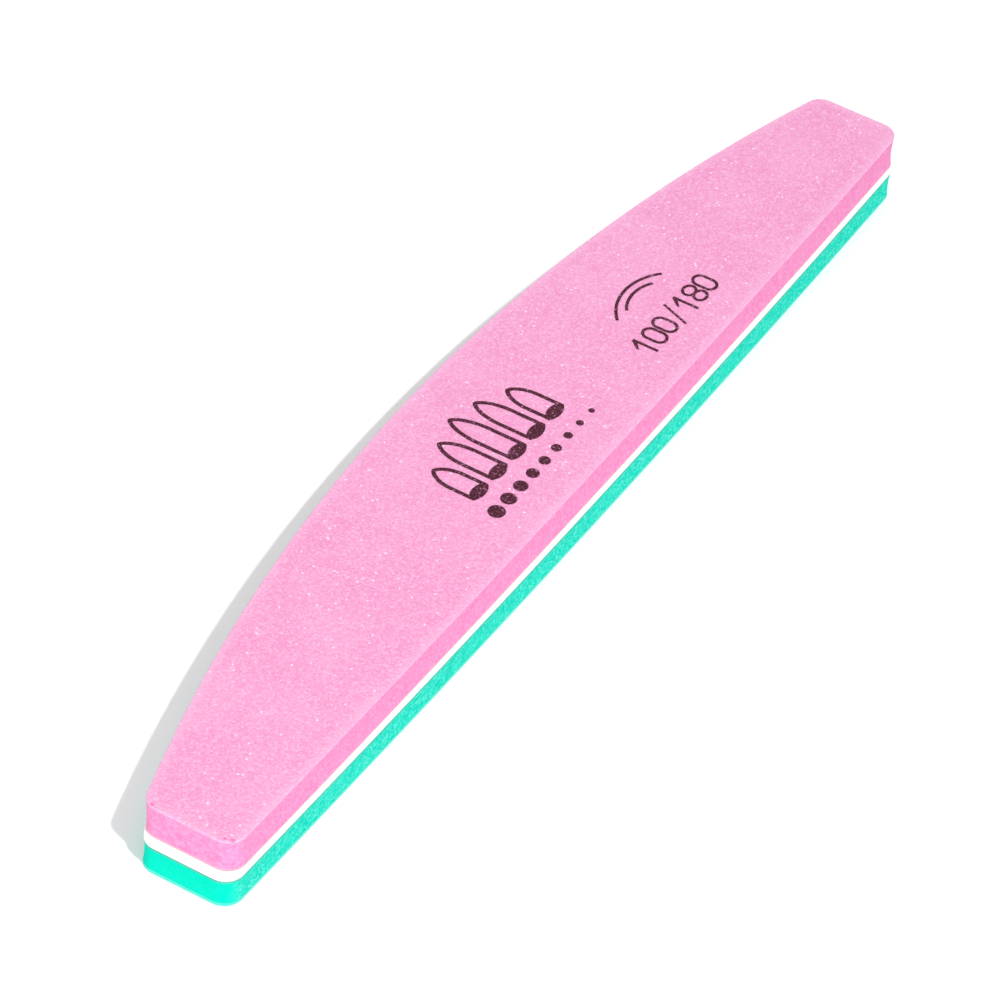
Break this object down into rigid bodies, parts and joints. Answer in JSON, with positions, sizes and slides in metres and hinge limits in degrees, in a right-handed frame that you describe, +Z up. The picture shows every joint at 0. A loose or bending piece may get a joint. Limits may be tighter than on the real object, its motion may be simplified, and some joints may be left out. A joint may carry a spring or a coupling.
{
  "type": "half-moon nail buffer block",
  "caption": "Half-moon sponge nail buffer: stiff core board between two foam pads, faced with a coarse and a finer abrasive sheet.",
  "frame": {"origin": "middle of the resting face, under the centre of the bounding box", "axes": "+X along the strip in the reading direction of the print, +Y towards the bowed edge, +Z up through the layers to the printed coarse face"},
  "size_m": [0.178, 0.028, 0.0117],
  "materials": {
    "pink_foam": "open-celled soft foam, die-cut, matt",
    "mint_foam": "open-celled soft foam, die-cut, matt",
    "white_core": "die-cut rigid sheet, satin",
    "bond_film": "double-sided adhesive film, cut edge",
    "pink_paper": "latex-saturated backing paper, dyed",
    "mint_paper": "latex-saturated backing paper, dyed",
    "pink_grit": "coarse abrasive grain in tinted resin, glittering",
    "mint_grit": "fine abrasive grain in tinted resin",
    "maroon_ink": "screen-printed ink, broken up by the grain"
  },
  "bodies": {
    "root": {"core_board": "white_core", "upper_core_tape": "bond_film", "lower_core_tape": "bond_film", "upper_sheet_tape": "bond_film", "lower_sheet_tape": "bond_film", "upper_foam": "pink_foam", "lower_foam": "mint_foam", "upper_backing_paper": "pink_paper", "lower_backing_paper": "mint_paper", "upper_grit_coat": "pink_grit", "lower_grit_coat": "mint_grit", "coarse_grit_print": "maroon_ink", "slash_print": "maroon_ink", "fine_grit_print": "maroon_ink", "flex_print": "maroon_ink", "nail_emblem_print": "maroon_ink", "grit_scale_print": "maroon_ink"}
  },
  "joints": []
}
